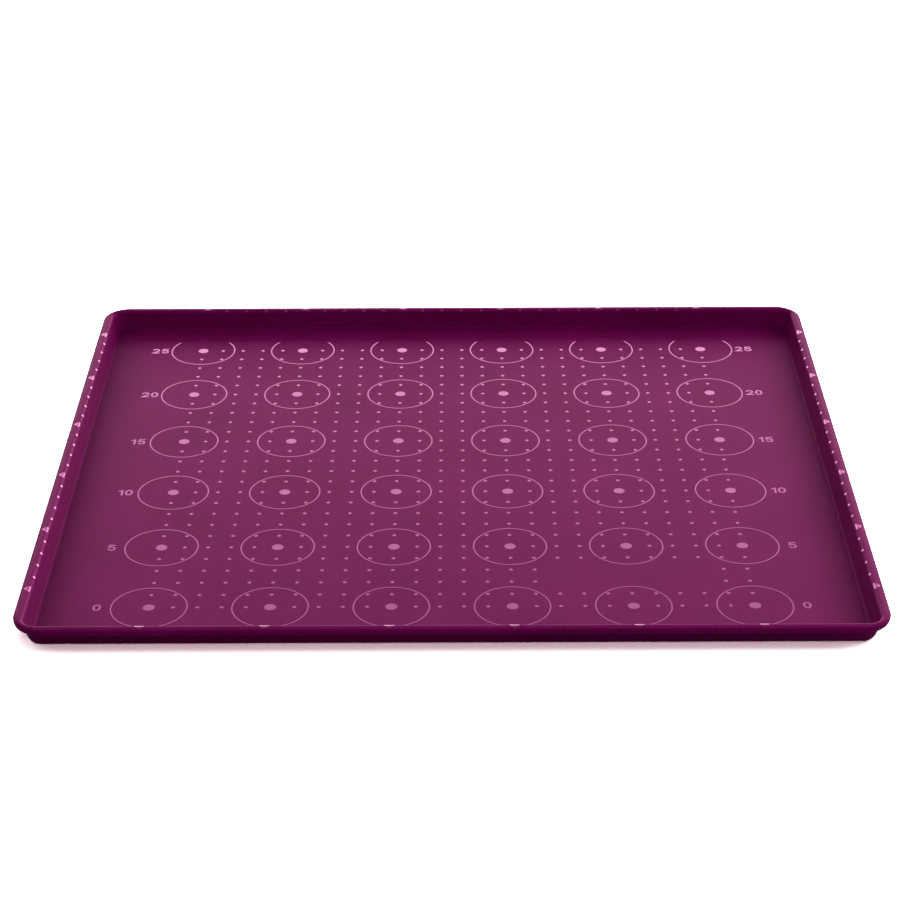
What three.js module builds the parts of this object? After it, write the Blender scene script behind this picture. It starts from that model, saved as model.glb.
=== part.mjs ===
// Silicone baking sheet: a shallow tray moulded in one piece, with leaning walls, a rounded rim that
// hangs over them, and the polished guide rings that mark out the floor for piping.
// Millimetres, +Z up. The origin is the middle of the underside, with the long side along X.

import * as THREE from 'three';

// Guide pattern on the floor: one ring for each 5 cm of the scale
const guidePitch = 50;
const guideColumns = 6;
const guideRows = 6;
const ringDiameter = 32;
const ringLine = 0.8;
const ringHeight = 0.2;
const scaleStep = 5;

// Floor: the pattern and a plain border, which is wider at the ends
const endBorder = 29;
const sideBorder = 11.1;
const floorThickness = 1.1;
const floorCornerRadius = 4.5;

// Low ledge where the floor meets the walls
const ledgeWidth = 0.9;
const ledgeHeight = 0.4;

// Walls: they lean out by wallLean for each millimetre of height, and the end walls by endFlare more
const wallThickness = 1;
const wallLean = 0.19;
const endFlare = 0.14;
const footRadius = 3.2;

// Rim: it rounds over from the wall to the crown, slopes gently outwards and ends in an upright lip
const rimHeight = 9.4;
const crownRadius = 1.8;
const lipReach = 2.75;
const lipSlope = 0.14;
const lipEdgeRadius = 1;
const lipDepth = 3;
const lipRadius = 0.8;
const crownCornerRadius = 8;
const rimCornerRadius = 13.5;

// Facets of the round parts
const cornerSteps = 8;
const crownSteps = 5;
const lipEdgeSteps = 3;
const footSteps = 5;
const ringSteps = 24;

const quarterTurn = Math.PI / 2;
const patternLength = (guideColumns - 1) * guidePitch + ringDiameter;
const patternWidth = (guideRows - 1) * guidePitch + ringDiameter;
const innerLength = patternLength + 2 * endBorder;
const innerWidth = patternWidth + 2 * sideBorder;

const matteSilicone = new THREE.MeshStandardMaterial({ color: 0x752c59, roughness: 0.6, metalness: 0 });
const polishedSilicone = new THREE.MeshStandardMaterial({ color: 0xdd8abe, roughness: 0.25, metalness: 0 });

// Points [distance, height] on an arc, without its first point
function arcPoints(center, radius, startAngle, endAngle, steps) {
  const points = [];
  for (let step = 1; step <= steps; step += 1) {
    const angle = startAngle + ((endAngle - startAngle) * step) / steps;
    points.push([center[0] + radius * Math.cos(angle), center[1] + radius * Math.sin(angle)]);
  }
  return points;
}

// Cross-section of the wall and rim, from the floor's edge up the inside, over the rim and down the
// outside to the underside. Distances are outward from the foot of the inner wall.
function wallSection() {
  const leanLength = Math.hypot(1, wallLean);
  const leanAngle = Math.atan(wallLean);
  const ledgeTop = floorThickness + ledgeHeight;
  const rimTop = floorThickness + rimHeight;
  const innerFaceAt = (height) => wallLean * (height - ledgeTop);
  const outerFaceAt = (height) => innerFaceAt(height) + wallThickness * leanLength;

  const crownCenter = [innerFaceAt(rimTop - crownRadius) + crownRadius * leanLength, rimTop - crownRadius];
  const crownStart = [
    crownCenter[0] - crownRadius * Math.cos(leanAngle),
    crownCenter[1] + crownRadius * Math.sin(leanAngle),
  ];
  const lipEnd = crownCenter[0] + lipReach;
  const rimUnderside = rimTop - lipDepth;
  // The slope touches the crown's arc and the lip's arc alike
  const slopeAngle = quarterTurn - lipSlope;
  const lipEdgeX = lipEnd - lipEdgeRadius;
  const slopeFall = (lipEdgeX - crownCenter[0]) * Math.sin(lipSlope) + lipEdgeRadius - crownRadius;
  const lipEdgeCenter = [lipEdgeX, crownCenter[1] - slopeFall / Math.cos(lipSlope)];
  const slopeEnd = [
    lipEdgeCenter[0] + lipEdgeRadius * Math.cos(slopeAngle),
    lipEdgeCenter[1] + lipEdgeRadius * Math.sin(slopeAngle),
  ];
  const footCenter = [outerFaceAt(footRadius) - footRadius * leanLength, footRadius];
  const footStart = [
    footCenter[0] + footRadius * Math.cos(leanAngle),
    footCenter[1] - footRadius * Math.sin(leanAngle),
  ];

  const points = [
    [-ledgeWidth, floorThickness],
    [-ledgeWidth, ledgeTop],
    [0, ledgeTop],
    crownStart,
    ...arcPoints(crownCenter, crownRadius, Math.PI - leanAngle, slopeAngle, crownSteps),
    slopeEnd,
    ...arcPoints(lipEdgeCenter, lipEdgeRadius, slopeAngle, 0, lipEdgeSteps),
    [lipEnd, rimUnderside + lipRadius],
    ...arcPoints([lipEnd - lipRadius, rimUnderside + lipRadius], lipRadius, 0, -quarterTurn, lipEdgeSteps),
    [outerFaceAt(rimUnderside), rimUnderside],
    footStart,
    ...arcPoints(footCenter, footRadius, -leanAngle, -quarterTurn, footSteps),
  ];
  return { points, crownEnd: crownCenter[0], lipEnd };
}

// Plan radius of the corners: it grows from the foot of the wall to the crown, and faster to the lip
function cornerRadiusAt(distance, crownEnd, lipEnd) {
  if (distance < 0) return floorCornerRadius + distance;
  if (distance < crownEnd) return floorCornerRadius + ((crownCornerRadius - floorCornerRadius) * distance) / crownEnd;
  const share = (distance - crownEnd) / (lipEnd - crownEnd);
  return crownCornerRadius + (rimCornerRadius - crownCornerRadius) * share;
}

// Rounded rectangle [x, y] that runs anticlockwise, a distance outward from the foot of the wall
function planLoop(distance, height, crownEnd, lipEnd) {
  const radius = cornerRadiusAt(distance, crownEnd, lipEnd);
  const flare = endFlare * Math.max(0, height - floorThickness - ledgeHeight);
  const centerX = innerLength / 2 + distance + flare - radius;
  const centerY = innerWidth / 2 + distance - radius;
  const quadrants = [[1, 1], [-1, 1], [-1, -1], [1, -1]];
  const loop = [];
  quadrants.forEach(([signX, signY], quadrant) => {
    for (let step = 0; step <= cornerSteps; step += 1) {
      const angle = (quadrant + step / cornerSteps) * quarterTurn;
      loop.push([signX * centerX + radius * Math.cos(angle), signY * centerY + radius * Math.sin(angle)]);
    }
  });
  return loop;
}

// The tray: the cross-section carried round the plan, closed by the floor's two faces
function makeTray() {
  const { points, crownEnd, lipEnd } = wallSection();
  const positions = [];
  const faces = [];
  const loopSize = 4 * (cornerSteps + 1);
  points.forEach(([distance, height]) => {
    planLoop(distance, height, crownEnd, lipEnd).forEach(([x, y]) => positions.push(x, y, height));
  });
  const floorTop = positions.length / 3;
  positions.push(0, 0, floorThickness);
  const underside = floorTop + 1;
  positions.push(0, 0, 0);

  const lastRow = points.length - 1;
  for (let side = 0; side < loopSize; side += 1) {
    const next = (side + 1) % loopSize;
    for (let row = 0; row < lastRow; row += 1) {
      const low = row * loopSize;
      const high = low + loopSize;
      faces.push(low + side, high + side, high + next, low + side, high + next, low + next);
    }
    const lastLoop = lastRow * loopSize;
    faces.push(floorTop, side, next, underside, lastLoop + next, lastLoop + side);
  }

  const geometry = new THREE.BufferGeometry();
  geometry.setAttribute('position', new THREE.Float32BufferAttribute(positions, 3));
  geometry.setIndex(faces);
  geometry.computeVertexNormals();
  const tray = new THREE.Mesh(geometry, matteSilicone);
  tray.name = 'tray';
  return tray;
}

// One guide ring: a low flat band that lies on the floor
function makeRingGeometry() {
  const outer = ringDiameter / 2;
  const inner = outer - ringLine;
  const band = [[outer, 0], [outer, ringHeight], [inner, ringHeight], [inner, 0], [outer, 0]];
  const geometry = new THREE.LatheGeometry(band.map(([x, y]) => new THREE.Vector2(x, y)), ringSteps);
  geometry.rotateX(quarterTurn);
  return geometry;
}

// All the rings, each named for its place on the centimetre scale
function makeGuideRings() {
  const rings = new THREE.Group();
  const geometry = makeRingGeometry();
  const scaleName = (index) => String(index * scaleStep).padStart(2, '0');
  for (let row = 0; row < guideRows; row += 1) {
    for (let column = 0; column < guideColumns; column += 1) {
      const ring = new THREE.Mesh(geometry, polishedSilicone);
      ring.name = `guide_ring_x${scaleName(column)}_y${scaleName(row)}`;
      ring.position.x = (column - (guideColumns - 1) / 2) * guidePitch;
      ring.position.y = (row - (guideRows - 1) / 2) * guidePitch;
      rings.add(ring);
    }
  }
  rings.position.z = floorThickness;
  return rings;
}

const bakingSheet = new THREE.Group();
bakingSheet.add(makeTray(), makeGuideRings());

export default bakingSheet;
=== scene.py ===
# Silicone baking sheet: a shallow plum tray with a rounded rim, marked out for piping biscuits
import math

import bmesh
import bpy
from mathutils import Euler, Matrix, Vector


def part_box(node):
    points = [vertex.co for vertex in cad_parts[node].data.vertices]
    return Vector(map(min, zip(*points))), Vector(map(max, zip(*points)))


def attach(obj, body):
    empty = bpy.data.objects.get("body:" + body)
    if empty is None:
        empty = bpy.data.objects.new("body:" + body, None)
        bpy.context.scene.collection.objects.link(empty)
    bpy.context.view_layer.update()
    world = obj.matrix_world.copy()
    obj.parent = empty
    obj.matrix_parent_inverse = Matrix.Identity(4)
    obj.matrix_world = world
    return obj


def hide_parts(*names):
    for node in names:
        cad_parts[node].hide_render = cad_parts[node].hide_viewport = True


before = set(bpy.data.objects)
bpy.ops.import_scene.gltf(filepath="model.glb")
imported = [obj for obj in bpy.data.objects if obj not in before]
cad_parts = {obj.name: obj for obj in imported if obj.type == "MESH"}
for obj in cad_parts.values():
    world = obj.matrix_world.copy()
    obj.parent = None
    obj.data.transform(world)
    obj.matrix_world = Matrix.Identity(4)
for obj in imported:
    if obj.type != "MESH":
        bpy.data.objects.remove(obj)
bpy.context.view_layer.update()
mm = 0.001

# What the frame fixes: the outside of the tray, its floor, and the pattern of the guide rings
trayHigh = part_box("tray")[1]
firstRingLow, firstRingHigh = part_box("guide_ring_x00_y00")
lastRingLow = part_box("guide_ring_x25_y25")[0]
ringNodes = sorted(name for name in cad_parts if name.startswith("guide_ring_"))
guideCount = math.isqrt(len(ringNodes))  # rings along each side of the pattern
guidePitch = (lastRingLow.x - firstRingLow.x) / (guideCount - 1)
ringDiameter = firstRingHigh.x - firstRingLow.x
floorTop = firstRingLow.z
firstGuide = -guidePitch * (guideCount - 1) / 2  # x and y of the first ring's middle
scaleStep = 5  # centimetres from one ring to the next
scaleMarks = (guideCount - 1) * scaleStep + 1  # centimetre marks along each side
centimetre = guidePitch / scaleStep
print("frame loaded:", len(ringNodes), "rings, pitch", round(guidePitch / mm, 2), "mm")

crispAngle = math.radians(40)  # edges sharper than this stay crisp
markRise = 0.06 * mm  # the polished marks stand this far out of the silicone
markEdge = 0.02 * mm  # rings and dots draw in this far towards their tops


# An sRGB hex code as the linear colour that the sockets take
def linearColor(hexCode):
    channels = [int(hexCode[at:at + 2], 16) / 255 for at in (1, 3, 5)]
    return [c / 12.92 if c <= 0.04045 else ((c + 0.055) / 1.055) ** 2.4 for c in channels] + [1.0]


# Adds one node: settings are its properties, inputs are values or what they are linked from
def addNode(tree, kind, settings={}, inputs={}):
    node = tree.nodes.new(kind)
    for name, value in settings.items():
        setattr(node, name, value)
    for socket, value in inputs.items():
        if isinstance(value, bpy.types.Node):
            value = value.outputs[0]
        if isinstance(value, bpy.types.NodeSocket):
            tree.links.new(value, node.inputs[socket])
        else:
            node.inputs[socket].default_value = value
    return node


def newMaterial(name):
    material = bpy.data.materials.new(name)
    material.use_nodes = True
    material.node_tree.nodes.clear()
    return material, material.node_tree


def addObject(name, data):
    added = bpy.data.objects.new(name, data)
    bpy.context.collection.objects.link(added)
    return added


def smoothFaces(mesh):
    mesh.polygons.foreach_set("use_smooth", [True] * len(mesh.polygons))
    mesh.set_sharp_from_angle(angle=crispAngle)


# Turns a finished bmesh into an object with one material
def addShape(name, shape, material):
    mesh = bpy.data.meshes.new(name)
    shape.to_mesh(mesh)
    shape.free()
    smoothFaces(mesh)
    mesh.materials.append(material)
    return addObject(name, mesh)


def finishPiece(piece, slotName, *nodes):
    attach(piece, "root")
    if nodes:
        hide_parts(*nodes)


noiseSpan = (0.3, 0.7)  # nearly all of a noise's values lie between these

# Matt silicone, pressed in a blasted steel mould: deep plum in the shade, and a broad satin gleam in its
# own colour where it faces the light, because the pigment lies right under the skin. A fine grit breaks
# it up. The floor is painted darker towards the end walls, a painted shade for the shade the walls throw,
# and it is duller there too.
matteLook = {
    "deep": "#660448", "light": "#82095d",
    "metallic": 0.6,  # the share of the gleam
    "clearGloss": 0.03,  # gloss in the light's own white
    "edgeTint": "#fff2f8",  # tint of the gleam at a glancing angle
    "cloudSize": 45 * mm,  # slow drift of the colour
    "gritSize": 1.3 * mm,  # a blasted mould leaves about 0.1 mm, drawn coarser so that it shows
    "gritShare": 0.65,  # its part in the colour's unevenness, beside the slow drift
    "gritDepth": 0.07 * mm, "gritStrength": 0.6,
    "roughness": (0.42, 0.5),
    # painted shade: the floor's colour beside the end walls, darkened to stand in for the walls' shade
    "border": "#610545", "borderFrom": 140 * mm, "borderTo": 169 * mm,  # from the middle of the sheet
    "borderPower": 2.0,  # it sets in slowly
    "borderRoughness": 0.1,  # added to the rest
    "borderHeight": 0.5 * mm,  # above the floor, so that it stops at the walls
}


def makeMatteSilicone(look):
    material, tree = newMaterial("matte_silicone_blasted")
    place = addNode(tree, "ShaderNodeTexCoord").outputs["Object"]
    cloud = addNode(tree, "ShaderNodeTexNoise", {}, {
        "Vector": place, "Scale": 1 / look["cloudSize"], "Detail": 3.0, "Roughness": 0.5})
    grit = addNode(tree, "ShaderNodeTexNoise", {}, {
        "Vector": place, "Scale": 1 / look["gritSize"], "Detail": 2.0, "Roughness": 0.6})
    slowDrift = addNode(tree, "ShaderNodeMath", {"operation": "MULTIPLY"}, {
        0: cloud.outputs["Fac"], 1: 1 - look["gritShare"]})
    drift = addNode(tree, "ShaderNodeMath", {"operation": "MULTIPLY_ADD"}, {
        0: grit.outputs["Fac"], 1: look["gritShare"], 2: slowDrift})
    color = addNode(tree, "ShaderNodeValToRGB", {}, {"Fac": drift})
    deepStop, lightStop = color.color_ramp.elements
    deepStop.position, lightStop.position = noiseSpan
    deepStop.color, lightStop.color = linearColor(look["deep"]), linearColor(look["light"])
    along = addNode(tree, "ShaderNodeSeparateXYZ", {}, {0: place})
    outward = addNode(tree, "ShaderNodeMath", {"operation": "ABSOLUTE"}, {0: along.outputs["X"]})
    # painted shade: a mask that darkens the floor towards the end walls, where they shade it; the same
    # mask makes it rougher there
    nearWall = addNode(tree, "ShaderNodeMapRange", {}, {
        "Value": outward, "From Min": look["borderFrom"], "From Max": look["borderTo"]})
    closing = addNode(tree, "ShaderNodeMath", {"operation": "POWER"}, {
        0: nearWall, 1: look["borderPower"]})
    onFloor = addNode(tree, "ShaderNodeMath", {"operation": "LESS_THAN"}, {
        0: along.outputs["Z"], 1: floorTop + look["borderHeight"]})
    border = addNode(tree, "ShaderNodeMath", {"operation": "MULTIPLY"}, {0: closing, 1: onFloor})
    shaded = addNode(tree, "ShaderNodeMix", {"data_type": "RGBA"}, {
        "Factor": border, 6: color, 7: linearColor(look["border"])})  # 6 and 7 are its colours A and B
    satin = addNode(tree, "ShaderNodeMapRange", {}, {
        "Value": grit.outputs["Fac"], "From Min": noiseSpan[0], "From Max": noiseSpan[1],
        "To Min": look["roughness"][0], "To Max": look["roughness"][1]})
    dulled = addNode(tree, "ShaderNodeMath", {"operation": "MULTIPLY_ADD"}, {
        0: border, 1: look["borderRoughness"], 2: satin})
    bump = addNode(tree, "ShaderNodeBump", {}, {
        "Height": grit.outputs["Fac"], "Strength": look["gritStrength"], "Distance": look["gritDepth"]})
    silicone = addNode(tree, "ShaderNodeBsdfPrincipled", {}, {
        "Base Color": shaded.outputs[2], "Roughness": dulled, "Normal": bump,
        "Metallic": look["metallic"], "Specular IOR Level": look["clearGloss"],
        "Specular Tint": linearColor(look["edgeTint"])})
    addNode(tree, "ShaderNodeOutputMaterial", {}, {"Surface": silicone})
    return material


# Polished silicone: the mould is mirror-bright here, so the marks show the studio in a pink gleam under
# a clear skin, pale where they face the backdrop and dark beside the back wall
polishedLook = {
    "tint": "#bf4597",
    "metallic": 0.95,
    "skin": 1.0,
    "roughness": (0.05, 0.09),
    "smearSize": 6 * mm,  # slight unevenness left by hand polishing
}


def makePolishedSilicone(look):
    material, tree = newMaterial("polished_silicone_mark")
    place = addNode(tree, "ShaderNodeTexCoord").outputs["Object"]
    smear = addNode(tree, "ShaderNodeTexNoise", {}, {
        "Vector": place, "Scale": 1 / look["smearSize"], "Detail": 2.0})
    gloss = addNode(tree, "ShaderNodeMapRange", {}, {
        "Value": smear.outputs["Fac"], "From Min": noiseSpan[0], "From Max": noiseSpan[1],
        "To Min": look["roughness"][0], "To Max": look["roughness"][1]})
    silicone = addNode(tree, "ShaderNodeBsdfPrincipled", {}, {
        "Base Color": linearColor(look["tint"]), "Metallic": look["metallic"], "Roughness": gloss,
        "Coat Weight": look["skin"], "Coat Roughness": look["roughness"][0]})
    addNode(tree, "ShaderNodeOutputMaterial", {}, {"Surface": silicone})
    return material


matteSilicone = makeMatteSilicone(matteLook)
polishedSilicone = makePolishedSilicone(polishedLook)
print("materials made")


# The tray: the frame's cross-section with softer edges, carried round the plan in finer steps
traySizes = {  # millimetres, with leans per millimetre of height and the lip's slope in radians
    "ledgeWidth": 0.9, "ledgeHeight": 0.4, "ledgeEdge": 0.2, "ledgeFillet": 0.35,
    "wallThickness": 1.0, "wallLean": 0.19, "endFlare": 0.14, "footRadius": 3.2,
    "crownRadius": 1.8, "lipReach": 2.75, "lipSlope": 0.14, "lipEdgeRadius": 1.0,
    "lipDepth": 3.0, "lipRadius": 0.8, "lipFillet": 0.6,
    "floorCornerRadius": 4.5, "crownCornerRadius": 8.0, "rimCornerRadius": 13.5,
    "cornerSteps": 20, "arcSteps": 10, "ledgeEdgeSteps": 4, "filletSteps": 5, "lipEdgeSteps": 6,
}


def arcPoints(center, radius, start, end, steps):
    angles = [start + (end - start) * step / steps for step in range(steps + 1)]
    return [(center[0] + radius * math.cos(a), center[1] + radius * math.sin(a)) for a in angles]


# Points (distance out from the foot of the wall, height), up the inside and down the outside
def traySection(sizes, floorHeight, rimTop):
    quarter = math.pi / 2
    lean = sizes["wallLean"]
    leanLength, leanAngle = math.hypot(1, lean), math.atan(lean)
    ledgeTop = floorHeight + sizes["ledgeHeight"]
    edge, fillet, crown = sizes["ledgeEdge"], sizes["ledgeFillet"], sizes["crownRadius"]
    lipEdge, lip, under = sizes["lipEdgeRadius"], sizes["lipRadius"], sizes["lipFillet"]
    foot, slope = sizes["footRadius"], sizes["lipSlope"]
    steps, filletSteps = sizes["arcSteps"], sizes["filletSteps"]

    def innerFace(height):
        return lean * (height - ledgeTop)

    def outerFace(height):
        return innerFace(height) + sizes["wallThickness"] * leanLength

    crownCenter = (innerFace(rimTop - crown) + crown * leanLength, rimTop - crown)
    lipEnd = crownCenter[0] + sizes["lipReach"]
    underside = rimTop - sizes["lipDepth"]
    lipEdgeX = lipEnd - lipEdge
    slopeFall = (lipEdgeX - crownCenter[0]) * math.sin(slope) + lipEdge - crown
    ledgeEdgeCenter = (edge - sizes["ledgeWidth"], ledgeTop - edge)
    filletCenter = (fillet * (lean - leanLength), ledgeTop + fillet)
    lipEdgeCenter = (lipEdgeX, crownCenter[1] - slopeFall / math.cos(slope))
    underCenter = (outerFace(underside - under) + under * leanLength, underside - under)
    footCenter = (outerFace(foot) - foot * leanLength, foot)
    points = [(-sizes["ledgeWidth"], floorHeight)]
    points += arcPoints(ledgeEdgeCenter, edge, math.pi, quarter, sizes["ledgeEdgeSteps"])
    points += arcPoints(filletCenter, fillet, -quarter, -leanAngle, filletSteps)
    points += arcPoints(crownCenter, crown, math.pi - leanAngle, quarter - slope, steps)
    points += arcPoints(lipEdgeCenter, lipEdge, quarter - slope, 0, sizes["lipEdgeSteps"])
    points += arcPoints((lipEnd - lip, underside + lip), lip, 0, -quarter, filletSteps)
    points += arcPoints(underCenter, under, quarter, math.pi - leanAngle, filletSteps)
    points += arcPoints(footCenter, foot, -leanAngle, -quarter, steps)
    return points, crownCenter[0], lipEnd


# Plan radius of the corners: it grows from the foot of the wall to the crown, and faster to the lip
def cornerRadius(sizes, distance, crownEnd, lipEnd):
    foot, crown, rim = (sizes[name + "CornerRadius"] for name in ("floor", "crown", "rim"))
    if distance < 0:
        return foot + distance
    if distance < crownEnd:
        return foot + (crown - foot) * distance / crownEnd
    return crown + (rim - crown) * (distance - crownEnd) / (lipEnd - crownEnd)


def makeTray(sizes):
    points, crownEnd, lipEnd = traySection(sizes, floorTop / mm, trayHigh.z / mm)
    ledgeTop = floorTop / mm + sizes["ledgeHeight"]
    # the end walls lean further out
    flares = [sizes["endFlare"] * max(0, height - ledgeTop) for _, height in points]
    halfLength = trayHigh.x / mm - max(flare + distance for flare, (distance, _) in zip(flares, points))
    halfWidth = trayHigh.y / mm - lipEnd
    steps = sizes["cornerSteps"]
    shape = bmesh.new()
    loops = []
    for (distance, height), flare in zip(points, flares):
        radius = cornerRadius(sizes, distance, crownEnd, lipEnd)
        loop = []
        for quadrant, (signX, signY) in enumerate(((1, 1), (-1, 1), (-1, -1), (1, -1))):
            centerX = signX * (halfLength + distance + flare - radius)
            centerY = signY * (halfWidth + distance - radius)
            for step in range(steps + 1):
                angle = (quadrant + step / steps) * math.pi / 2
                corner = (centerX + radius * math.cos(angle), centerY + radius * math.sin(angle), height)
                loop.append(shape.verts.new(Vector(corner) * mm))
        loops.append(loop)
    for low, high in zip(loops, loops[1:]):
        for side in range(len(low)):
            after = (side + 1) % len(low)
            shape.faces.new((low[side], high[side], high[after], low[after]))
    shape.faces.new(loops[0])
    shape.faces.new(reversed(loops[-1]))
    return addShape("tray_moulding", shape, matteSilicone)


tray = makeTray(traySizes)
print("tray made:", len(tray.data.polygons), "faces")


def newTree(name, sockets):
    tree = bpy.data.node_groups.new(name, "GeometryNodeTree")
    tree.interface.new_socket("Geometry", in_out="OUTPUT", socket_type="NodeSocketGeometry")
    for socketName, kind in sockets.items():
        tree.interface.new_socket(socketName, in_out="INPUT", socket_type="NodeSocket" + kind)
    return tree, tree.nodes.new("NodeGroupInput").outputs


# How far it is from the first mark of a row to the last
def addSpan(tree, count, spacing):
    gaps = addNode(tree, "ShaderNodeMath", {"operation": "SUBTRACT"}, {0: count, 1: 1.0})
    return addNode(tree, "ShaderNodeMath", {"operation": "MULTIPLY"}, {0: gaps, 1: spacing})


# Every tree ends in real faces with their material
def closeTree(tree, marks, material):
    solid = addNode(tree, "GeometryNodeRealizeInstances", {}, {"Geometry": marks})
    dressed = addNode(tree, "GeometryNodeSetMaterial", {}, {"Geometry": solid, "Material": material})
    addNode(tree, "NodeGroupOutput", {}, {"Geometry": dressed})
    return tree


# Runs a tree once and keeps the result as a plain mesh
def growPiece(name, tree, values):
    piece = addObject(name, bpy.data.meshes.new(name))
    modifier = piece.modifiers.new("build", "NODES")
    modifier.node_group = tree
    for socket in tree.interface.items_tree:
        if socket.in_out == "INPUT":
            modifier[socket.identifier] = values[socket.name]
    built = piece.evaluated_get(bpy.context.evaluated_depsgraph_get())
    mesh = bpy.data.meshes.new_from_object(built)
    piece.modifiers.clear()
    smoothFaces(mesh)
    piece.data = mesh
    mesh.name = name
    return piece


# Guide rings: one low polished band round each place for a biscuit
ringSizes = {"line": 0.58 * mm, "facets": 96}


def makeRingTree(facets):
    tree, given = newTree("guideRings", {
        "Count": "Int", "Pitch": "Float", "Diameter": "Float", "Line": "Float", "Edge": "Float",
        "Height": "Float", "Floor": "Float", "Material": "Material"})
    span = addSpan(tree, given["Count"], given["Pitch"])
    places = addNode(tree, "GeometryNodeMeshGrid", {}, {
        "Size X": span, "Size Y": span, "Vertices X": given["Count"], "Vertices Y": given["Count"]})
    across = addNode(tree, "ShaderNodeMath", {"operation": "SUBTRACT"}, {
        0: given["Diameter"], 1: given["Line"]})
    radius = addNode(tree, "ShaderNodeMath", {"operation": "MULTIPLY"}, {0: across, 1: 0.5})
    path = addNode(tree, "GeometryNodeCurvePrimitiveCircle", {}, {
        "Resolution": facets, "Radius": radius})
    crest = addNode(tree, "ShaderNodeMath", {"operation": "MULTIPLY_ADD"}, {
        0: given["Edge"], 1: -2.0, 2: given["Line"]})
    band = addNode(tree, "GeometryNodeCurvePrimitiveQuadrilateral", {"mode": "TRAPEZOID"}, {
        "Bottom Width": given["Line"], "Top Width": crest, "Offset": 0.0, "Height": given["Height"]})
    ring = addNode(tree, "GeometryNodeCurveToMesh", {}, {"Curve": path, "Profile Curve": band})
    middle = addNode(tree, "ShaderNodeMath", {"operation": "MULTIPLY_ADD"}, {
        0: given["Height"], 1: 0.5, 2: given["Floor"]})
    seat = addNode(tree, "ShaderNodeCombineXYZ", {}, {"Z": middle})
    raised = addNode(tree, "GeometryNodeSetPosition", {}, {"Geometry": places, "Offset": seat})
    rings = addNode(tree, "GeometryNodeInstanceOnPoints", {}, {"Points": raised, "Instance": ring})
    return closeTree(tree, rings, given["Material"])


guideRings = growPiece("guide_rings", makeRingTree(ringSizes["facets"]), {
    "Count": guideCount, "Pitch": guidePitch, "Diameter": ringDiameter, "Line": ringSizes["line"],
    "Edge": markEdge, "Height": markRise, "Floor": floorTop, "Material": polishedSilicone})
print("guide rings made:", len(guideRings.data.polygons), "faces")


# Dots: a large one in the middle of each ring, and a small one for each centimetre between them
middleDot = {"diameter": 5 * mm, "facets": 28}
smallDot = {
    "diameter": 1.8 * mm, "facets": 12,
    "bareFrom": (40 * mm, -110 * mm), "bareTo": (110 * mm, -90 * mm),  # a plain patch at the front right
}
samePlace = 2 * mm  # a dot nearer than this to a ring's middle is left out
hair = 0.5 * mm  # keeps the remainder in that test away from zero


def makeDotTree(name, facets):
    tree, given = newTree(name, {
        "Count": "Int", "Spacing": "Float", "Diameter": "Float", "Edge": "Float", "Height": "Float",
        "Floor": "Float", "First Ring": "Vector", "Ring Pitch": "Vector", "Bare Middle": "Vector",
        "Bare Half": "Vector", "Material": "Material"})
    span = addSpan(tree, given["Count"], given["Spacing"])
    grid = addNode(tree, "GeometryNodeMeshGrid", {}, {
        "Size X": span, "Size Y": span, "Vertices X": given["Count"], "Vertices Y": given["Count"]})
    here = addNode(tree, "GeometryNodeInputPosition")
    # a place is left free if it is a ring's middle, or lies in the bare patch
    fromRing = addNode(tree, "ShaderNodeVectorMath", {"operation": "SUBTRACT"}, {
        0: here, 1: given["First Ring"]})
    offRing = addNode(tree, "ShaderNodeVectorMath", {"operation": "MODULO"}, {
        0: fromRing, 1: given["Ring Pitch"]})
    ringGap = addNode(tree, "ShaderNodeVectorMath", {"operation": "LENGTH"}, {0: offRing})
    onRing = addNode(tree, "ShaderNodeMath", {"operation": "LESS_THAN"}, {
        0: ringGap.outputs["Value"], 1: samePlace})
    fromBare = addNode(tree, "ShaderNodeVectorMath", {"operation": "SUBTRACT"}, {
        0: here, 1: given["Bare Middle"]})
    awayBare = addNode(tree, "ShaderNodeVectorMath", {"operation": "ABSOLUTE"}, {0: fromBare})
    pastBare = addNode(tree, "ShaderNodeVectorMath", {"operation": "SUBTRACT"}, {
        0: awayBare, 1: given["Bare Half"]})
    past = addNode(tree, "ShaderNodeSeparateXYZ", {}, {0: pastBare})
    furthest = addNode(tree, "ShaderNodeMath", {"operation": "MAXIMUM"}, {
        0: past.outputs["X"], 1: past.outputs["Y"]})
    inBare = addNode(tree, "ShaderNodeMath", {"operation": "LESS_THAN"}, {0: furthest, 1: 0.0})
    free = addNode(tree, "ShaderNodeMath", {"operation": "MAXIMUM"}, {0: onRing, 1: inBare})
    places = addNode(tree, "GeometryNodeDeleteGeometry", {"domain": "POINT"}, {
        "Geometry": grid, "Selection": free})
    foot = addNode(tree, "ShaderNodeMath", {"operation": "MULTIPLY"}, {0: given["Diameter"], 1: 0.5})
    crest = addNode(tree, "ShaderNodeMath", {"operation": "SUBTRACT"}, {0: foot, 1: given["Edge"]})
    dot = addNode(tree, "GeometryNodeMeshCone", {}, {
        "Vertices": facets, "Radius Top": crest, "Radius Bottom": foot, "Depth": given["Height"]})
    seat = addNode(tree, "ShaderNodeCombineXYZ", {}, {"Z": given["Floor"]})
    raised = addNode(tree, "GeometryNodeSetPosition", {}, {"Geometry": places, "Offset": seat})
    dots = addNode(tree, "GeometryNodeInstanceOnPoints", {}, {
        "Points": raised, "Instance": dot.outputs["Mesh"]})
    return closeTree(tree, dots, given["Material"])


def makeDots(name, look, count, spacing, firstRing, bareFrom, bareTo):
    middle = [(low + high) / 2 for low, high in zip(bareFrom, bareTo)]
    half = [(high - low) / 2 for low, high in zip(bareFrom, bareTo)]
    return growPiece(name, makeDotTree(name, look["facets"]), {
        "Count": count, "Spacing": spacing, "Diameter": look["diameter"], "Edge": markEdge,
        "Height": markRise, "Floor": floorTop,
        "First Ring": (firstRing - hair, firstRing - hair, -hair), "Ring Pitch": (guidePitch,) * 3,
        "Bare Middle": (*middle, 0.0), "Bare Half": (*half, 0.0), "Material": polishedSilicone})


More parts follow.
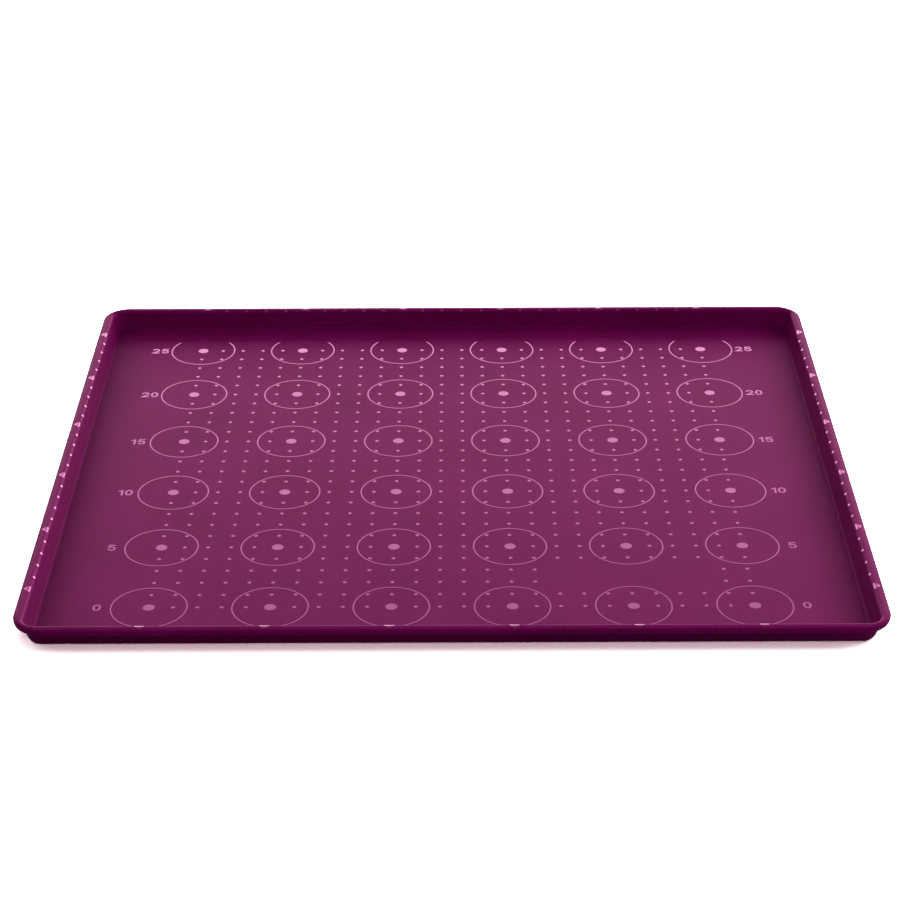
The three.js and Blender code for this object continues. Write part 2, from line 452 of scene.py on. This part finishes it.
nowhere = (1.0, 1.0)  # a metre off the sheet, so no place is left free
middleDots = makeDots(
    "middle_dots", middleDot, guideCount, guidePitch, firstGuide + guidePitch / 2, nowhere, nowhere)
smallDots = makeDots(
    "centimetre_dots", smallDot, scaleMarks, centimetre, firstGuide,
    smallDot["bareFrom"], smallDot["bareTo"])
print("dots made:", len(middleDots.data.polygons), "and", len(smallDots.data.polygons), "faces")


# Scale on the rim: a triangle at each ring's line, and a dot at each centimetre between them
rimSizes = {
    "inset": 3.9 * mm,  # from the lip's edge to the line of marks
    "triangleBase": 5.6 * mm, "triangleHeight": 2.9 * mm, "triangleRound": 0.7 * mm,
    "roundSteps": 4,  # facets of a triangle's blunt corner
    "triangleCuts": 2,  # fine enough to follow the crown
    "dotLength": 1.6 * mm, "dotWidth": 0.9 * mm, "dotFacets": 12,
    "dropFrom": 50 * mm,  # well above the rim
    "weld": 0.001 * mm,
}


def makeRimTree(sizes):
    tree, given = newTree("rimScale", {
        "Half Length": "Float", "Half Width": "Float", "Count": "Int", "Spacing": "Float",
        "Every": "Float", "Triangle Base": "Float", "Triangle Height": "Float",
        "Triangle Round": "Float", "Dot Length": "Float", "Dot Width": "Float",
        "Thickness": "Float", "Tray": "Object", "Material": "Material"})
    index = addNode(tree, "GeometryNodeInputIndex")
    # one side: marks in a row along y, pointing to +x
    span = addSpan(tree, given["Count"], given["Spacing"])
    back = addNode(tree, "ShaderNodeMath", {"operation": "MULTIPLY"}, {0: span, 1: -0.5})
    first = addNode(tree, "ShaderNodeCombineXYZ", {}, {"Y": back})
    stride = addNode(tree, "ShaderNodeCombineXYZ", {}, {"Y": given["Spacing"]})
    row = addNode(tree, "GeometryNodeMeshLine", {}, {
        "Count": given["Count"], "Start Location": first, "Offset": stride})
    remainder = addNode(tree, "ShaderNodeMath", {"operation": "MODULO"}, {0: index, 1: given["Every"]})
    isTriangle = addNode(tree, "ShaderNodeMath", {"operation": "LESS_THAN"}, {0: remainder, 1: 0.5})
    isDot = addNode(tree, "ShaderNodeMath", {"operation": "SUBTRACT"}, {0: 1.0, 1: isTriangle})
    reach = addNode(tree, "ShaderNodeMath", {"operation": "DIVIDE"}, {
        0: given["Triangle Base"], 1: math.sqrt(3)})  # an even triangle's corners lie this far out
    tall = addNode(tree, "ShaderNodeMath", {"operation": "MULTIPLY"}, {0: reach, 1: 1.5})
    squeeze = addNode(tree, "ShaderNodeMath", {"operation": "DIVIDE"}, {
        0: given["Triangle Height"], 1: tall})
    shape = addNode(tree, "ShaderNodeCombineXYZ", {}, {"X": squeeze, "Y": 1.0, "Z": 1.0})
    shift = addNode(tree, "ShaderNodeMath", {"operation": "MULTIPLY"}, {
        0: given["Triangle Height"], 1: 1 / 3})
    toLine = addNode(tree, "ShaderNodeCombineXYZ", {}, {"X": shift})  # sets the base on the line
    even = addNode(tree, "GeometryNodeCurvePrimitiveCircle", {}, {"Resolution": 3, "Radius": reach})
    blunt = addNode(tree, "GeometryNodeFilletCurve", {"mode": "POLY"}, {
        "Curve": even, "Count": sizes["roundSteps"], "Radius": given["Triangle Round"],
        "Limit Radius": True})
    filled = addNode(tree, "GeometryNodeFillCurve", {"mode": "TRIANGLES"}, {"Curve": blunt})
    flat = addNode(tree, "GeometryNodeTransform", {}, {
        "Geometry": filled, "Translation": toLine, "Scale": shape})
    triangle = addNode(tree, "GeometryNodeSubdivideMesh", {}, {
        "Mesh": flat, "Level": sizes["triangleCuts"]})
    dotShape = addNode(tree, "ShaderNodeCombineXYZ", {}, {
        "X": given["Dot Width"], "Y": given["Dot Length"], "Z": 1.0})
    disc = addNode(tree, "GeometryNodeMeshCircle", {"fill_type": "TRIANGLE_FAN"}, {
        "Vertices": sizes["dotFacets"], "Radius": 0.5})
    oval = addNode(tree, "GeometryNodeTransform", {}, {"Geometry": disc, "Scale": dotShape})
    triangles = addNode(tree, "GeometryNodeInstanceOnPoints", {}, {
        "Points": row, "Selection": isTriangle, "Instance": triangle})
    dots = addNode(tree, "GeometryNodeInstanceOnPoints", {}, {
        "Points": row, "Selection": isDot, "Instance": oval})
    oneSide = addNode(tree, "GeometryNodeJoinGeometry", {}, {"Geometry": triangles})
    tree.links.new(dots.outputs[0], oneSide.inputs[0])
    # four sides: each a quarter turn on, at its own distance from the middle
    turn = addNode(tree, "ShaderNodeMath", {"operation": "MULTIPLY"}, {0: index, 1: math.pi / 2})
    cosine = addNode(tree, "ShaderNodeMath", {"operation": "COSINE"}, {0: turn})
    sine = addNode(tree, "ShaderNodeMath", {"operation": "SINE"}, {0: turn})
    alongX = addNode(tree, "ShaderNodeMath", {"operation": "MULTIPLY"}, {
        0: cosine, 1: given["Half Length"]})
    alongY = addNode(tree, "ShaderNodeMath", {"operation": "MULTIPLY"}, {
        0: sine, 1: given["Half Width"]})
    sideAt = addNode(tree, "ShaderNodeCombineXYZ", {}, {"X": alongX, "Y": alongY})
    heading = addNode(tree, "ShaderNodeCombineXYZ", {}, {"Z": turn})
    sidePoints = addNode(tree, "GeometryNodePoints", {}, {"Count": 4, "Position": sideAt})
    sides = addNode(tree, "GeometryNodeInstanceOnPoints", {}, {
        "Points": sidePoints, "Instance": oneSide, "Rotation": heading})
    marks = addNode(tree, "GeometryNodeRealizeInstances", {}, {"Geometry": sides})
    # each mark drops straight down on to the crown and then gets its thickness
    carrier = addNode(tree, "GeometryNodeObjectInfo", {"transform_space": "RELATIVE"}, {
        "Object": given["Tray"]})
    above = addNode(tree, "ShaderNodeVectorMath", {"operation": "ADD"}, {
        0: addNode(tree, "GeometryNodeInputPosition"), 1: (0.0, 0.0, sizes["dropFrom"])})
    fall = addNode(tree, "GeometryNodeRaycast", {}, {
        "Target Geometry": carrier.outputs["Geometry"], "Source Position": above,
        "Ray Direction": (0.0, 0.0, -1.0), "Ray Length": 2 * sizes["dropFrom"]})
    laid = addNode(tree, "GeometryNodeSetPosition", {}, {
        "Geometry": marks, "Position": fall.outputs["Hit Position"]})
    raised = addNode(tree, "GeometryNodeExtrudeMesh", {"mode": "FACES"}, {
        "Mesh": laid, "Offset Scale": given["Thickness"], "Individual": False})
    underneath = addNode(tree, "GeometryNodeFlipFaces", {}, {"Mesh": laid})
    both = addNode(tree, "GeometryNodeJoinGeometry", {}, {"Geometry": raised.outputs["Mesh"]})
    tree.links.new(underneath.outputs[0], both.inputs[0])
    closed = addNode(tree, "GeometryNodeMergeByDistance", {}, {
        "Geometry": both, "Distance": sizes["weld"]})
    return closeTree(tree, closed, given["Material"])


rimScale = growPiece("rim_scale", makeRimTree(rimSizes), {
    "Half Length": trayHigh.x - rimSizes["inset"], "Half Width": trayHigh.y - rimSizes["inset"],
    "Count": scaleMarks, "Spacing": centimetre, "Every": float(scaleStep),
    "Triangle Base": rimSizes["triangleBase"], "Triangle Height": rimSizes["triangleHeight"],
    "Triangle Round": rimSizes["triangleRound"], "Dot Length": rimSizes["dotLength"],
    "Dot Width": rimSizes["dotWidth"], "Thickness": markRise, "Tray": tray,
    "Material": polishedSilicone})
print("rim scale made:", len(rimScale.data.polygons), "faces")


# Numerals: centimetres along the left, the right and the back, all read from the front. Each digit is
# one stroke of a broad pen, in heights of the digit: its arcs are (middle, radii, first and last angle).
numeralLook = {
    "height": 5.3 * mm, "pen": 0.175, "gap": 0.12,
    "arcStep": 15,  # degrees
    "beside": 146.5 * mm, "behind": 146.5 * mm,  # from the middle of the sheet
    "digits": {
        "0": {"width": 0.7, "stroke": [((0.35, 0.5), (0.25, 0.4), 0, 345)], "closed": True},
        "1": {"width": 0.46, "stroke": [(0.05, 0.7), (0.36, 0.86), (0.36, 0.0)], "closed": False},
        "2": {"width": 0.74, "stroke": [((0.37, 0.65), (0.26, 0.25), 175, -35),
                                        (0.14, 0.1), (0.74, 0.1)], "closed": False},
        "5": {"width": 0.74, "stroke": [(0.68, 0.9), (0.2, 0.9), (0.15, 0.5),
                                        ((0.37, 0.35), (0.27, 0.25), 130, -155)], "closed": False},
    },
}


# The pen's path as points, with its arcs in even steps
def strokePoints(stroke, arcStep):
    points = []
    for part in stroke:
        if len(part) == 2:
            points.append(Vector(part))
            continue
        middle, radii, first, last = part
        steps = round(abs(last - first) / arcStep)
        for step in range(steps + 1):
            angle = math.radians(first + (last - first) * step / steps)
            x = middle[0] + radii[0] * math.cos(angle)
            y = middle[1] + radii[1] * math.sin(angle)
            points.append(Vector((x, y)))
    return points


# Both edges of the stroke, mitred where it turns
def strokeEdges(points, pen, closed):
    edges = []
    for at, point in enumerate(points):
        before = points[at - 1] if at or closed else None
        after = points[(at + 1) % len(points)] if at + 1 < len(points) or closed else None
        ahead = (after - point).normalized() if after else (point - before).normalized()
        behind = (point - before).normalized() if before else ahead
        bisector = (ahead + behind).normalized()
        across = Vector((-bisector.y, bisector.x))
        reach = pen / 2 / across.dot(Vector((-behind.y, behind.x)))
        edges.append((point + across * reach, point - across * reach))
    return edges


def addDigit(shape, digit, look, x, y):
    size = look["height"]
    edges = strokeEdges(strokePoints(digit["stroke"], look["arcStep"]), look["pen"], digit["closed"])

    def cornersAt(height):
        return [[shape.verts.new((x + side.x * size, y + (side.y - 0.5) * size, height)) for side in pair]
                for pair in edges]

    top, foot = cornersAt(floorTop + markRise), cornersAt(floorTop)
    for at in range(len(top) if digit["closed"] else len(top) - 1):
        after = (at + 1) % len(top)
        (topLeft, topRight), (topLeftAfter, topRightAfter) = top[at], top[after]
        (footLeft, footRight), (footLeftAfter, footRightAfter) = foot[at], foot[after]
        shape.faces.new((topLeft, topRight, topRightAfter, topLeftAfter))
        shape.faces.new((footLeft, footLeftAfter, footRightAfter, footRight))
        shape.faces.new((topLeft, topLeftAfter, footLeftAfter, footLeft))
        shape.faces.new((topRight, footRight, footRightAfter, topRightAfter))
    if not digit["closed"]:
        for at in (0, -1):
            shape.faces.new((*top[at], *reversed(foot[at])))


def makeNumerals(look):
    shape = bmesh.new()
    for step in range(guideCount):
        along = firstGuide + step * guidePitch
        digits = [look["digits"][letter] for letter in str(step * scaleStep)]
        width = sum(digit["width"] for digit in digits) + look["gap"] * (len(digits) - 1)
        for x, y in ((-look["beside"], along), (look["beside"], along), (along, look["behind"])):
            left = x - width / 2 * look["height"]
            for digit in digits:
                addDigit(shape, digit, look, left, y)
                left += (digit["width"] + look["gap"]) * look["height"]
    bmesh.ops.recalc_face_normals(shape, faces=shape.faces)
    return addShape("scale_numerals", shape, polishedSilicone)


numerals = makeNumerals(numeralLook)
print("numerals made:", len(numerals.data.polygons), "faces")

finishPiece(tray, "matte_silicone", "tray")
finishPiece(guideRings, "polished_silicone", *ringNodes)
for marks in (middleDots, smallDots, rimScale, numerals):
    finishPiece(marks, "polished_silicone")


# Rays that show up in a glossy or a clear surface
def addReflected(tree, rays):
    return addNode(tree, "ShaderNodeMath", {"operation": "MAXIMUM"}, {
        0: rays.outputs["Is Glossy Ray"], 1: rays.outputs["Is Transmission Ray"]})


# The table: white, with the shadow that the sheet throws on it
tableLook = {
    "size": 6.0, "drop": 0.1 * mm,  # below the sheet
    "shown": 2.55,  # how bright the camera sees it
    "mirrored": 0.22,  # how bright it is in the gloss of the silicone
    "bounce": 0.6,  # how much light it gives back to the sheet
    "glow": "#600038",  # a faint plum light in its shadow, for the camera alone
}


def makeTable(look):
    material, tree = newMaterial("white_table")
    rays = addNode(tree, "ShaderNodeLightPath")
    bounced = addNode(tree, "ShaderNodeMix", {}, {
        "Factor": addReflected(tree, rays), "A": look["bounce"], "B": look["mirrored"]})
    brightness = addNode(tree, "ShaderNodeMix", {}, {
        "Factor": rays.outputs["Is Camera Ray"], "A": bounced, "B": look["shown"]})
    paint = addNode(tree, "ShaderNodeBsdfDiffuse", {}, {"Color": brightness})
    light = addNode(tree, "ShaderNodeEmission", {}, {
        "Color": linearColor(look["glow"]), "Strength": rays.outputs["Is Camera Ray"]})
    both = addNode(tree, "ShaderNodeAddShader", {}, {0: paint, 1: light})
    addNode(tree, "ShaderNodeOutputMaterial", {}, {"Surface": both})
    half = look["size"] / 2
    corners = ((-half, -half), (half, -half), (half, half), (-half, half))
    mesh = bpy.data.meshes.new("white_table")
    mesh.from_pydata([(x, y, -look["drop"]) for x, y in corners], [], [(0, 1, 2, 3)])
    mesh.materials.append(material)
    table = addObject("white_table", mesh)


makeTable(tableLook)

# Studio: a pale backdrop behind the sheet and to its right, which fades upwards, and soft lamps all
# round. The backdrop's levels stand against degrees above the horizon and degrees to the right.
studioLook = {
    "ambient": 0.23,
    "dimmest": 0.2,  # the least that the silicone mirrors, from any side
    "backdrop": 2.7,  # what the silicone mirrors at the horizon
    "fade": ((0.0, 1.0), (11.0, 0.9), (17.0, 0.78), (22.0, 0.7), (25.0, 0.59), (27.0, 0.45),
             (31.0, 0.295), (36.0, 0.19), (50.0, 0.09)),
    "spread": ((-40.0, 0.0), (-22.0, 0.91), (12.0, 0.88), (26.0, 1.15), (45.0, 1.1), (75.0, 0.78),
               (105.0, 0.0)),
    "lamps": (
        {"name": "topBox", "at": (0.0, 0.0, 1.2), "size": (1.2, 1.2), "power": 5.7},
        {"name": "backStrip", "at": (0.0, 0.75, 0.25), "size": (1.2, 0.15), "power": 5.4},
        {"name": "backRightBox", "at": (0.5, 0.6, 0.5), "size": (0.5, 0.25), "power": 2.75},
        {"name": "rightBox", "at": (0.8, 0.0, 0.4), "size": (0.5, 0.25), "power": 2.8},
        {"name": "leftBox", "at": (-0.8, 0.0, 0.5), "size": (0.5, 0.3), "power": 0.9},
        {"name": "frontFill", "at": (0.0, -0.9, 0.7), "size": (1.0, 0.3), "power": 1.6},
    ),
}


# A grey ramp over an angle, from stops of (degrees, level)
def addAngleRamp(tree, angle, stops):
    first, last = math.radians(stops[0][0]), math.radians(stops[-1][0])
    along = addNode(tree, "ShaderNodeMapRange", {}, {
        "Value": angle, "From Min": first, "From Max": last})
    ramp = addNode(tree, "ShaderNodeValToRGB", {}, {"Fac": along})
    for at, (degrees, level) in enumerate(stops):
        place = (math.radians(degrees) - first) / (last - first)
        stop = ramp.color_ramp.elements[at] if at < 2 else ramp.color_ramp.elements.new(place)
        stop.position, stop.color = place, (level, level, level, 1.0)
    return ramp


def makeStudio(look):
    world = bpy.data.worlds.new("studio")
    bpy.context.scene.world = world
    world.use_nodes = True
    tree = world.node_tree
    tree.nodes.clear()
    rays = addNode(tree, "ShaderNodeLightPath")
    toward = addNode(tree, "ShaderNodeSeparateXYZ", {}, {
        0: addNode(tree, "ShaderNodeTexCoord").outputs["Generated"]})
    height = addNode(tree, "ShaderNodeMath", {"operation": "ARCSINE"}, {0: toward.outputs["Z"]})
    around = addNode(tree, "ShaderNodeMath", {"operation": "ARCTAN2"}, {
        0: toward.outputs["X"], 1: toward.outputs["Y"]})
    fade = addAngleRamp(tree, height, look["fade"])
    spread = addAngleRamp(tree, around, look["spread"])
    both = addNode(tree, "ShaderNodeMath", {"operation": "MULTIPLY"}, {0: fade, 1: spread})
    mirrored = addNode(tree, "ShaderNodeMath", {"operation": "MULTIPLY"}, {0: both, 1: look["backdrop"]})
    gleam = addNode(tree, "ShaderNodeMath", {"operation": "MAXIMUM"}, {0: mirrored, 1: look["dimmest"]})
    unseen = addNode(tree, "ShaderNodeMix", {}, {
        "Factor": addReflected(tree, rays), "A": look["ambient"], "B": gleam})
    level = addNode(tree, "ShaderNodeMix", {}, {
        "Factor": rays.outputs["Is Camera Ray"], "A": unseen, "B": 1.0})  # the camera sees plain white
    sky = addNode(tree, "ShaderNodeBackground", {}, {"Color": (1.0, 1.0, 1.0, 1.0), "Strength": level})
    addNode(tree, "ShaderNodeOutputWorld", {}, {"Surface": sky})
    for lamp in look["lamps"]:
        light = bpy.data.lights.new(lamp["name"], "AREA")
        light.shape, (light.size, light.size_y) = "RECTANGLE", lamp["size"]
        light.energy = lamp["power"]
        holder = addObject(lamp["name"], light)
        holder.location = lamp["at"]
        holder.rotation_euler = (-Vector(lamp["at"])).to_track_quat("-Z", "Y").to_euler()
        holder.visible_camera = holder.visible_glossy = False  # the backdrop alone shows in the marks


makeStudio(studioLook)

# Camera: a long lens in front of the sheet, looking down at it
cameraLook = {
    "at": (1.947 * mm, -988.595 * mm, 520.143 * mm),
    "turn": (62.5958, 0.2257, -0.0347),  # degrees
    "lens": 96.92, "sensor": 36,  # millimetres
}
cameraData = bpy.data.cameras.new("camera")
cameraData.lens, cameraData.sensor_width = cameraLook["lens"], cameraLook["sensor"]
camera = addObject("camera", cameraData)
camera.location = cameraLook["at"]
camera.rotation_euler = Euler([math.radians(angle) for angle in cameraLook["turn"]])
scene = bpy.context.scene
scene.camera = camera
scene.view_settings.view_transform = "Standard"
print("studio and camera made")
